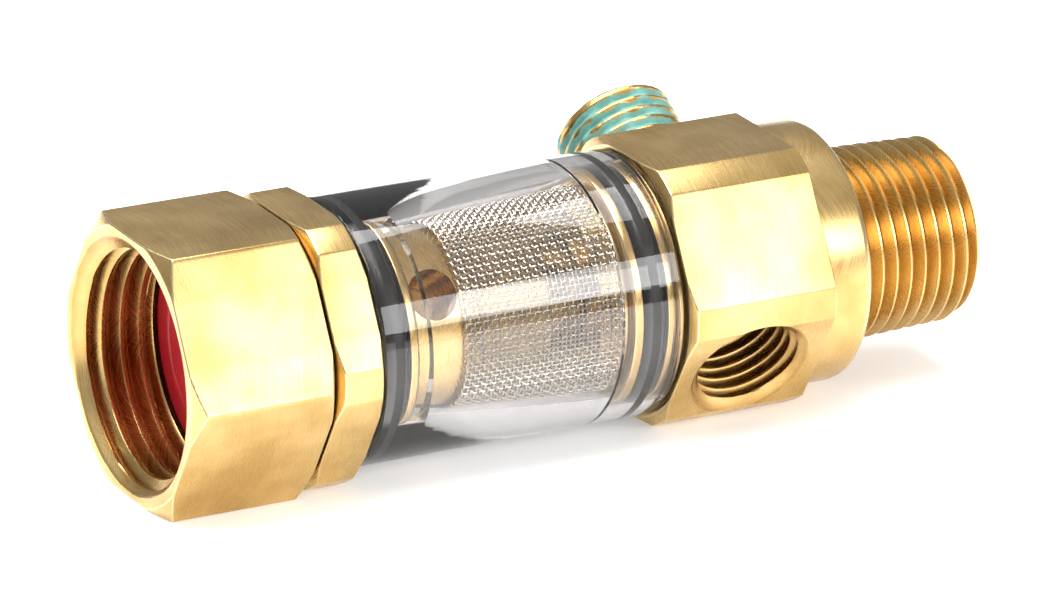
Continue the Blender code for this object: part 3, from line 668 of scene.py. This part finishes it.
def moulded(tree, tone, gloss, deep):
    """Moulded rubber: a satin skin with a faint grain 0.4 mm across."""
    place = add(tree, "ShaderNodeTexCoord", out=OBJECT_COORDS)
    grain = add(tree, NOISE, {}, {"Vector": place, "Scale": 1 / (0.4 * MM), "Detail": 3.0})
    cloud = add(tree, NOISE, {}, {"Vector": place, "Scale": 1 / (3 * MM), "Detail": 2.0})
    base = add(tree, MIX, COLOURS,
               {"Factor": cloud, MIX_A: (*tone, 1), MIX_B: (*deep, 1)}, out=RESULT_COLOUR)
    rough = add(tree, RANGE, {}, {"Value": grain, "To Min": gloss, "To Max": gloss + 0.16})
    bump = add(tree, "ShaderNodeBump", {}, {"Height": grain, "Strength": 0.25, "Distance": 0.02 * MM})
    return {"Base Color": base, "Roughness": rough, "Normal": bump}


def black_rubber(tree):
    """Nitrile seal ring: near black and satin."""
    tone = bpy.context.scene.strainer_colours.black
    return moulded(tree, tone, 0.3, [c * 0.6 for c in tone])


def red_rubber(tree):
    """Red hose washer: smooth vinyl rubber with a soft shine."""
    tone = bpy.context.scene.strainer_colours.red
    return moulded(tree, tone, 0.3, [c * 0.75 for c in tone])


def clear_acrylic(tree):
    """Turned and polished acrylic: clear, with faint polishing marks in its gloss."""
    metres = add(tree, "ShaderNodeUVMap", {"uv_map": "UVMap"})
    scaled = add(tree, "ShaderNodeMapping", {},
                 {"Vector": metres, "Scale": (1 / (20 * MM), 1 / (0.3 * MM), 1)})
    marks = add(tree, NOISE, {}, {"Vector": scaled, "Scale": 1.0, "Detail": 2.0})
    gloss = add(tree, RANGE, {}, {"Value": marks, "To Min": 0.0, "To Max": 0.04})
    return {"Base Color": (*ACRYLIC_TINT, 1), "Roughness": gloss, "IOR": 1.49, "Transmission Weight": 1.0}


def steel_wire(tree):
    """Drawn stainless wire: bright, with slow changes of gloss along it."""
    tone = bpy.context.scene.strainer_colours.steel
    place = add(tree, "ShaderNodeTexCoord", out=OBJECT_COORDS)
    cloud = add(tree, NOISE, {}, {"Vector": place, "Scale": 1 / (1.5 * MM), "Detail": 3.0})
    base = add(tree, MIX, COLOURS,
               {"Factor": cloud, MIX_A: (*tone, 1), MIX_B: (*[c * 0.7 for c in tone], 1)}, out=RESULT_COLOUR)
    rough = add(tree, RANGE, {}, {"Value": cloud, "To Min": 0.22, "To Max": 0.42})
    return {"Base Color": base, "Metallic": 1.0, "Roughness": rough}


def studio_floor(tree):
    """Matt white sweep with a slight unevenness of tone."""
    tone = bpy.context.scene.strainer_colours.floor
    place = add(tree, "ShaderNodeTexCoord", out=OBJECT_COORDS)
    cloud = add(tree, NOISE, {}, {"Vector": place, "Scale": 3.0, "Detail": 1.0})
    base = add(tree, MIX, COLOURS,
               {"Factor": cloud, MIX_A: (*tone, 1), MIX_B: (*[c * 0.985 for c in tone], 1)}, out=RESULT_COLOUR)
    return {"Base Color": base, "Roughness": 0.9, "Specular IOR Level": 0.1,
            "Emission Color": base, "Emission Strength": 0.3}


# ---- shapes shared by the operators ------------------------------------------------------------
def drill(radius, start, end, flare):
    """A drill that ends past a surface at end, with a flare that breaks the hole's edge there."""
    shape = Outline()
    shape.to(0, start).to(radius, start).to(radius, end - flare)
    shape.to(radius + flare, end + 0.2 * flare).to(radius + flare, end + MM).to(0, end + MM)
    return spin("drill", shape)


def cross_holes(obj, radius, end, place):
    """Drill holes evenly round the flow axis."""
    for index in range(HOLES):
        cutter = drill(radius, radius + HOLE_FLOOR, end, 0.12 * MM)
        turn = along_port(HOLE_TURN + index * 360 / HOLES)
        cutter.data.transform(Matrix.Translation((place, 0, 0)) @ turn)
        carve(obj, cutter)


def spigot(shape, size, ends, seal):
    """Outline of a spigot with its seal groove, from its first end to its last."""
    width = SEAL_GROOVE_HALF if ends[1] > ends[0] else -SEAL_GROOVE_HALF
    shape.to(size, seal - width, 0.12 * MM).to(size - SEAL_GROOVE, seal - width)
    shape.to(size - SEAL_GROOVE, seal + width).to(size, seal + width, 0.12 * MM)


def seal_ring(name, place, body, node):
    """A rubber ring squeezed flat against the tube's bore and the bottom of its groove."""
    tube = bpy.context.scene.strainer_tube
    bore = outer_radius("sight_tube") - tube.wall + tube.seat_step
    half = tube.seal_section / 2
    middle = bore + 0.14 * MM - half
    shape = Outline()
    for step in range(SEAL_STEPS):
        angle = 2 * math.pi * step / SEAL_STEPS
        radius = middle + half * math.cos(angle)
        shape.to(min(max(radius, bore - SEAL_REACH), bore + SEAL_PRESS), place + half * math.sin(angle))
    ring = spin(name, shape)
    ring.data.transform(along_flow())
    settle(ring, body, node, [finish("Nitrile rubber", black_rubber)])


# ---- operators ---------------------------------------------------------------------------------
class STRAINER_OT_hose_nut(bpy.types.Operator):
    """Swivel nut with its hose thread"""

    bl_idname = "strainer.hose_nut"
    bl_label = "Hose nut"

    def execute(self, context):
        """Spin the nut, cut its thread and put it in place."""
        bar, cut = context.scene.strainer_bar, context.scene.strainer_threads
        long = NUT_BACK - NUT_FRONT
        side = hexed(bar.flats, bar.nut_corners, 0.12 * MM)
        face = np.minimum(bar.nut_face / 2, side - bar.edge)
        chamfer = (side - face) * NUT_CHAMFER
        crest, mouth = cut.hose_crest / 2, cut.hose_mouth / 2
        shape = Outline()
        shape.to(face, 0, bar.edge).to(side, chamfer, bar.edge, DRAWN).to(side, long - chamfer, bar.edge)
        shape.to(face, long, bar.edge).to(BACK_HOLE, long, bar.edge).to(BACK_HOLE, long - BACK_WALL)
        shape.to(RING_BORE, long - BACK_WALL).to(RING_BORE, RECESS_DEPTH).to(RECESS, RECESS_DEPTH)
        shape.to(RECESS, HOSE_THREAD_END)
        blank = [(crest, HOSE_THREAD_END), (crest, mouth - crest),
                 (mouth - 0.15 * MM, MOUTH_EDGE), (mouth + 0.05 * MM, 0)]
        shape.thread(blank, cut.hose_pitch, 20, (crest, crest), (0.02 * MM, 0.8 * MM))
        nut = cut_thread(spin("hose_nut", shape), cut.hose_depth, 0.09, 0.07, -1)
        nut.data.transform(along_flow(NUT_FRONT))
        settle(nut, "nut", "swivel_nut",
               [finish("Turned brass", turned_brass), finish("Drawn brass bar", drawn_brass)])
        return {"FINISHED"}


class STRAINER_OT_washer(bpy.types.Operator):
    """Rubber hose washer with a raised ring"""

    bl_idname = "strainer.washer"
    bl_label = "Hose washer"

    def execute(self, context):
        """Spin the washer."""
        thick = WASHER_BACK - WASHER_FRONT
        outer = outer_radius("hose_washer")
        shape = Outline()
        soft, fine = 0.3 * MM, 0.1 * MM
        shape.to(WASHER_HOLE, 0, soft).to(BEAD_IN, 0, fine).to(9.4 * MM, -BEAD_HEIGHT, fine)
        shape.to(9.8 * MM, -BEAD_HEIGHT, fine).to(BEAD_OUT, 0, fine).to(outer - WASHER_BEVEL, 0, soft)
        shape.to(outer, WASHER_BEVEL, soft).to(outer, thick, soft).to(WASHER_HOLE, thick, soft)
        washer = spin("hose_washer_rubber", shape)
        washer.data.transform(along_flow(WASHER_FRONT))
        settle(washer, "nut", "hose_washer", [finish("Red washer rubber", red_rubber)])
        return {"FINISHED"}


class STRAINER_OT_retaining_ring(bpy.types.Operator):
    """Wire ring inside the nut"""

    bl_idname = "strainer.retaining_ring"
    bl_label = "Retaining ring"

    def execute(self, context):
        """Give the frame's own ring its finish."""
        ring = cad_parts["nut_retaining_ring"]
        wire = finish("Stainless wire", steel_wire)
        ring.data.materials.clear()
        ring.data.materials.append(wire)
        return {"FINISHED"}


class STRAINER_OT_inlet_fitting(bpy.types.Operator):
    """Inlet body with its spigot, hub, stem and cross holes"""

    bl_idname = "strainer.inlet_fitting"
    bl_label = "Inlet fitting"

    def execute(self, context):
        """Spin the inlet body and drill it."""
        bar, tube = context.scene.strainer_bar, context.scene.strainer_tube
        side = hexed(bar.flats, bar.body_corners, 0.05 * MM)
        face = np.minimum(bar.body_face / 2, side - bar.edge)
        chamfer = (side - face) * BODY_CHAMFER
        front, shoulder = NUT_BACK + bar.shoulder, TUBE_START - bar.shoulder
        spigot_end = shoulder + tube.seat_depth - MM
        land = outer_radius("sight_tube") - tube.wall + tube.seat_step - bar.shoulder
        stem_end = BOSS_END - STEM_GAP
        hub_end = SCREEN_START + SCREEN_OVERLAP
        bore_end = spigot_end + INLET_BORE_REACH
        soft = 0.3 * MM
        shape = Outline(turned_corners=True)
        shape.to(TAIL, TAIL_END, 0.2 * MM).to(TAIL, RING_PLACE - RING_GROOVE_HALF)
        shape.to(RING_GROOVE, RING_PLACE - RING_GROOVE_HALF).to(RING_GROOVE, RING_PLACE + RING_GROOVE_HALF)
        shape.to(TAIL, RING_PLACE + RING_GROOVE_HALF).to(TAIL, front)
        shape.to(face, front, bar.edge).to(side, front + chamfer, bar.edge, DRAWN)
        shape.to(side, shoulder - chamfer, bar.edge).to(face, shoulder, bar.edge).to(land, shoulder)
        spigot(shape, land, (shoulder, spigot_end), INLET_SEAL)
        shape.to(land, spigot_end, 0.4 * MM).to(HUB, spigot_end, MM).to(HUB, hub_end, 0.2 * MM)
        shape.to(STEM, hub_end).to(STEM, stem_end, soft).to(NOSE, stem_end, soft)
        shape.to(NOSE, NOSE_END, soft).to(NOSE_BORE, NOSE_END, 0.2 * MM)
        shape.to(NOSE_BORE, stem_end - BORE_POINT)
        shape.to(0, stem_end - BORE_POINT).to(0, bore_end + BORE_POINT)
        shape.to(INLET_BORE, bore_end).to(INLET_BORE, TAIL_END, 0.2 * MM)
        body = spin("inlet_fitting", shape)
        body.data.transform(along_flow())
        cross_holes(body, FEED_HOLE, HUB, spigot_end + FEED_REACH)
        cross_holes(body, DRAIN_HOLE, NOSE, (stem_end + BOSS_END) / 2)
        settle(body, "inlet", "inlet_body",
               [finish("Turned brass", turned_brass), finish("Drawn brass bar", drawn_brass)])
        return {"FINISHED"}


class STRAINER_OT_seals(bpy.types.Operator):
    """The two rubber seal rings"""

    bl_idname = "strainer.seals"
    bl_label = "Seal rings"

    def execute(self, context):
        """Spin both rings."""
        seal_ring("inlet_o_ring", INLET_SEAL, "inlet", "inlet_seal_ring")
        seal_ring("outlet_o_ring", OUTLET_SEAL, "outlet", "outlet_seal_ring")
        return {"FINISHED"}


class STRAINER_OT_clear_tube(bpy.types.Operator):
    """Clear tube, bored wider at both ends"""

    bl_idname = "strainer.clear_tube"
    bl_label = "Clear tube"

    def execute(self, context):
        """Spin the tube."""
        tube = context.scene.strainer_tube
        long = TUBE_END - TUBE_START
        outer = outer_radius("sight_tube")
        bore = outer - tube.wall
        seat = bore + tube.seat_step
        rim = tube.tube_edge
        shape = Outline()
        shape.to(outer - rim, long, 0.08 * MM).to(outer, long - rim, 0.08 * MM).to(outer, rim, 0.08 * MM)
        shape.to(outer - rim, 0, 0.08 * MM).to(seat, 0, 0.1 * MM).to(seat, tube.seat_depth, 0.05 * MM)
        shape.to(bore, tube.seat_depth, 0.1 * MM).to(bore, long - tube.seat_depth, 0.1 * MM)
        shape.to(seat, long - tube.seat_depth, 0.05 * MM).to(seat, long, 0.1 * MM)
        clear = spin("clear_tube", shape)
        clear.data.transform(along_flow(TUBE_START))
        settle(clear, "tube", "sight_tube", [finish("Polished acrylic", clear_acrylic)])
        return {"FINISHED"}


class STRAINER_OT_screen(bpy.types.Operator):
    """Plain-woven wire screen, rolled into a sleeve"""

    bl_idname = "strainer.screen"
    bl_label = "Woven screen"

    def execute(self, context):
        """Weave the hoops and the long wires."""
        tube = context.scene.strainer_tube
        radius = outer_radius("screen_sleeve") - tube.wire
        wires = 2 * round(math.pi * radius / tube.weave)
        hoops = round((SCREEN_END - SCREEN_START) / tube.weave)
        wire = finish("Stainless wire", steel_wire)
        long = SCREEN_END - SCREEN_START
        shared = {"Radius": radius, "Length": long, "Wire": tube.wire, "Material": wire}
        counts = {"screen_hoops": (hoops, 2 * wires), "screen_long_wires": (wires, 2 * hoops - 1)}
        for name, (many, points) in counts.items():
            mesh = bpy.data.meshes.new(name)
            sleeve = bpy.data.objects.new(name, mesh)
            context.scene.collection.objects.link(sleeve)
            tree = weave_tree(name, name == "screen_hoops")
            run_tree(sleeve, tree, {**shared, "Wires": many, "Points": points})
            sleeve.data.transform(along_flow(SCREEN_START))
            settle(sleeve, "tube", "screen_sleeve", [wire])
        return {"FINISHED"}


class STRAINER_OT_outlet_block(bpy.types.Operator):
    """Outlet body with its pipe thread and side ports"""

    bl_idname = "strainer.outlet_block"
    bl_label = "Outlet block"

    def execute(self, context):
        """Spin the block, cut its pipe thread and both ports."""
        bar, cut = context.scene.strainer_bar, context.scene.strainer_threads
        tube = context.scene.strainer_tube
        side = hexed(bar.flats, bar.body_corners, 0.05 * MM)
        face = np.minimum(bar.body_face / 2, side - bar.edge)
        chamfer = (side - face) * BODY_CHAMFER
        shoulder = TUBE_END + bar.shoulder
        spigot_end = shoulder - tube.seat_depth + MM
        land = outer_radius("sight_tube") - tube.wall + tube.seat_step - bar.shoulder
        start = cut.pipe_crest / 2
        end = start - (PIPE_END - COLLAR_END) * PIPE_TAPER
        shape = Outline(turned_corners=True)
        shape.to(BODY_BORE, BOSS_END, 0.15 * MM).to(BOSS, BOSS_END, 0.3 * MM).to(BOSS, spigot_end, 0.4 * MM)
        shape.to(land, spigot_end, 0.4 * MM)
        spigot(shape, land, (spigot_end, shoulder), OUTLET_SEAL)
        shape.to(land, shoulder).to(face, shoulder, bar.edge).to(side, shoulder + chamfer, bar.edge, DRAWN)
        shape.to(side, BLOCK_END, bar.edge).to(COLLAR, BLOCK_END).to(COLLAR, COLLAR_END, COLLAR_ROUND)
        blank = [(RELIEF, COLLAR_END), (start, COLLAR_END + RELIEF_LENGTH),
                 (end, PIPE_END - PIPE_CHAMFER), (end - PIPE_CHAMFER, PIPE_END)]
        shape.thread(blank, cut.pipe_pitch, 16, (start, end), (0.5 * MM, 0.02 * MM))
        shape.to(BODY_BORE + PIPE_BORE_CHAMFER, PIPE_END, 0.1 * MM)
        shape.to(BODY_BORE, PIPE_END - PIPE_BORE_CHAMFER)
        block = cut_thread(spin("outlet_block", shape), cut.pipe_depth, 0.06, 0.03, 1)
        block.data.transform(along_flow())
        flat = bar.flats / 2
        crest, rim = cut.port_crest / 2, cut.port_rim / 2
        port = Outline()
        port.to(0, PORT_FLOOR)
        blank = [(crest - PORT_NARROWING, PORT_FLOOR), (crest, flat - COUNTERSINK),
                 (rim - 0.1 * MM, flat - 0.1 * MM), (rim + 0.1 * MM, flat)]
        port.thread(blank, cut.port_pitch, 16, (crest - PORT_NARROWING, crest), (2.5 * MM, 0.02 * MM))
        port.to(rim + 0.1 * MM, flat + MM).to(0, flat + MM)
        cutter = cut_thread(spin("port", port), cut.port_depth, 0.08, 0.06, -1)
        cutter.data.transform(along_port(FRONT_PORT))
        carve(block, cutter)
        hole = Outline()
        hole.to(0, PORT_FLOOR).to(crest, PORT_FLOOR).to(crest, PLUG_SEAT)
        hole.to(rim, PLUG_SEAT).to(rim, flat + MM).to(0, flat + MM)
        cutter = spin("plug_hole", hole)
        cutter.data.transform(along_port(REAR_PORT))
        carve(block, cutter)
        settle(block, "outlet", "outlet_body",
               [finish("Turned brass", turned_brass), finish("Scuffed brass bar", scuffed_brass)])
        return {"FINISHED"}


class STRAINER_OT_port_plug(bpy.types.Operator):
    """Sealed plug in the rear port"""

    bl_idname = "strainer.port_plug"
    bl_label = "Port plug"

    def execute(self, context):
        """Spin the plug, cut its thread and smear it with sealant."""
        bar, cut = context.scene.strainer_bar, context.scene.strainer_threads
        top = bar.flats / 2 + cut.plug_proud
        low = top - PLUG_LENGTH
        floor = top - SOCKET_DEPTH
        radius = cut.plug_crest / 2
        socket = SOCKET_HALF / np.cos(np.radians(FROM_FLAT))
        shape = Outline()
        shape.to(0, low).to(0, floor).to(socket, floor).to(socket, top, 0.1 * MM)
        shape.to(radius - 0.55 * MM, top, 0.12 * MM)
        blank = [(radius - 0.05 * MM, top - 0.5 * MM), (radius, top - 1.1 * MM),
                 (radius - PLUG_NARROWING, low + 0.6 * MM), (radius - 0.8 * MM, low)]
        shape.thread(blank, cut.port_pitch, 14, (radius - PLUG_NARROWING, radius), (0.02 * MM, 0.5 * MM))
        plug = cut_thread(spin("port_plug", shape), PLUG_THREAD_DEPTH, 0.08, 0.06, 1)
        smear(plug)
        plug.data.transform(along_port(REAR_PORT))
        settle(plug, "outlet", "side_plug", [finish("Sealed brass thread", coated_brass)])
        return {"FINISHED"}


def smear(plug):
    """Fill the plug's grooves unevenly with sealant, and mark how thickly each point is covered."""
    groove = plug.data.attributes["groove"].data
    covered = plug.data.attributes.new("sealant", "FLOAT", "POINT")
    for point, deep, mark in zip(plug.data.vertices, groove, covered.data):
        lump = noise.noise(point.co * (1 / (1.7 * MM)))
        fine = noise.noise(point.co * (1 / (0.6 * MM)))
        fill = deep.value * max(0.0, 0.3 + 0.5 * lump) * 0.75 * MM
        if deep.value > 0 or point.co.xy.length > 6.7 * MM:
            radius = max(point.co.xy.length, 1e-9)
            grown = 1 + (fill + 0.03 * MM * fine) / radius
            point.co.x *= grown
            point.co.y *= grown
            mark.value = 0.25 + 0.75 * deep.value + 0.3 * lump


CAMERA_AIM = (-30.366 * MM, -17.52 * MM, 22.117 * MM)
CAMERA_DISTANCE = 825.96 * MM
CAMERA_AZIMUTH, CAMERA_ELEVATION, CAMERA_ROLL = -28.656, 20.472, 0.908   # degrees
FLOOR_SIZE, FLOOR_DROP = 4.0, 0.03 * MM


class STRAINER_OT_stage(bpy.types.Operator):
    """Floor, lights and camera"""

    bl_idname = "strainer.stage"
    bl_label = "Studio"

    def execute(self, context):
        """Set up the studio."""
        stage = context.scene.strainer_stage
        mesh = bpy.data.meshes.new("floor")
        shape = bmesh.new()
        bmesh.ops.create_grid(shape, x_segments=1, y_segments=1, size=FLOOR_SIZE)
        shape.to_mesh(mesh)
        shape.free()
        mesh.transform(Matrix.Translation((0, 0, -FLOOR_DROP)))
        mesh.materials.append(finish("White sweep", studio_floor))
        floor = bpy.data.objects.new("floor", mesh)
        context.scene.collection.objects.link(floor)
        world = bpy.data.worlds.new("Room")
        world.use_nodes = True
        room = world.node_tree
        room.nodes.clear()
        way = add(room, "ShaderNodeTexCoord")
        parts = add(room, "ShaderNodeSeparateXYZ", {}, {0: way}, out=2)
        tone = add(room, RANGE, {},
                   {"Value": parts, "From Min": 0.0, "From Max": 0.8, "To Min": 0.6, "To Max": 1.2})
        level = add(room, MATH, TIMES, {0: tone, 1: stage.fill})
        light = add(room, "ShaderNodeBackground", {}, {"Color": (1.0, 0.99, 0.98, 1), "Strength": level})
        add(room, "ShaderNodeOutputWorld", {}, {"Surface": light})
        context.scene.world = world
        soft_light("front_softbox", (0.42, -1.0, 0.48), (0.9, 0.45), stage.key)
        soft_light("top_softbox", (-0.25, 0.15, 1.3), (1.3, 1.3), stage.top)
        turn = Matrix.Rotation(math.radians(CAMERA_AZIMUTH), 4, "Z")
        tilt = Matrix.Rotation(math.radians(90 - CAMERA_ELEVATION), 4, "X")
        roll = Matrix.Rotation(math.radians(CAMERA_ROLL), 4, "Z")
        back = Matrix.Translation((0, 0, CAMERA_DISTANCE))
        camera = bpy.data.objects.new("camera", bpy.data.cameras.new("camera"))
        context.scene.collection.objects.link(camera)
        camera.matrix_world = Matrix.Translation(CAMERA_AIM) @ turn @ tilt @ roll @ back
        camera.data.sensor_width = 36
        camera.data.lens = stage.lens
        camera.data.clip_start = 0.01
        context.scene.camera = camera
        context.scene.view_settings.view_transform = "Standard"
        return {"FINISHED"}


def soft_light(name, place, size, power):
    """A rectangular softbox aimed at the object."""
    lamp = bpy.data.lights.new(name, "AREA")
    lamp.shape = "RECTANGLE"
    lamp.size, lamp.size_y = size
    lamp.energy = power
    light = bpy.data.objects.new(name, lamp)
    bpy.context.scene.collection.objects.link(light)
    aim = Vector((-0.02, 0, AXIS_HEIGHT)) - Vector(place)
    light.matrix_world = Matrix.Translation(place) @ aim.to_track_quat("-Z", "Y").to_matrix().to_4x4()


class STRAINER_PT_panel(bpy.types.Panel):
    """The strainer's operators and settings"""

    bl_label = "Strainer"
    bl_idname = "STRAINER_PT_panel"
    bl_space_type = "VIEW_3D"
    bl_region_type = "UI"
    bl_category = "Strainer"

    def draw(self, context):
        """List the pieces, then the sizes and colours."""
        for piece in PIECES:
            self.layout.operator(piece.bl_idname)
        for key, group in GROUPS.items():
            box = self.layout.box()
            box.label(text=group.__doc__)
            for name in group.__annotations__:
                box.prop(getattr(context.scene, key), name)


GROUPS = {
    "strainer_bar": StrainerBar,
    "strainer_threads": StrainerThreads,
    "strainer_tube": StrainerTube,
    "strainer_colours": StrainerColours,
    "strainer_stage": StrainerStage,
}
PIECES = [
    STRAINER_OT_stage,
    STRAINER_OT_hose_nut,
    STRAINER_OT_washer,
    STRAINER_OT_retaining_ring,
    STRAINER_OT_inlet_fitting,
    STRAINER_OT_seals,
    STRAINER_OT_clear_tube,
    STRAINER_OT_screen,
    STRAINER_OT_outlet_block,
    STRAINER_OT_port_plug,
]


def register():
    """Register the classes and hang the settings on the scene."""
    for key, group in GROUPS.items():
        bpy.utils.register_class(group)
        setattr(bpy.types.Scene, key, bpy.props.PointerProperty(type=group))
    for piece in (*PIECES, STRAINER_PT_panel):
        bpy.utils.register_class(piece)


def unregister():
    """Undo register."""
    for piece in (STRAINER_PT_panel, *reversed(PIECES)):
        bpy.utils.unregister_class(piece)
    for key, group in reversed(GROUPS.items()):
        delattr(bpy.types.Scene, key)
        bpy.utils.unregister_class(group)


def corners(box):
    """A box's two corners as plain lists."""
    return [[float(value) for value in corner] for corner in box]


def main():
    """Register the classes and build every piece."""
    register()
    for piece in PIECES:
        group, name = piece.bl_idname.split(".")
        getattr(getattr(bpy.ops, group), name)()


if __name__ == "__main__":
    main()
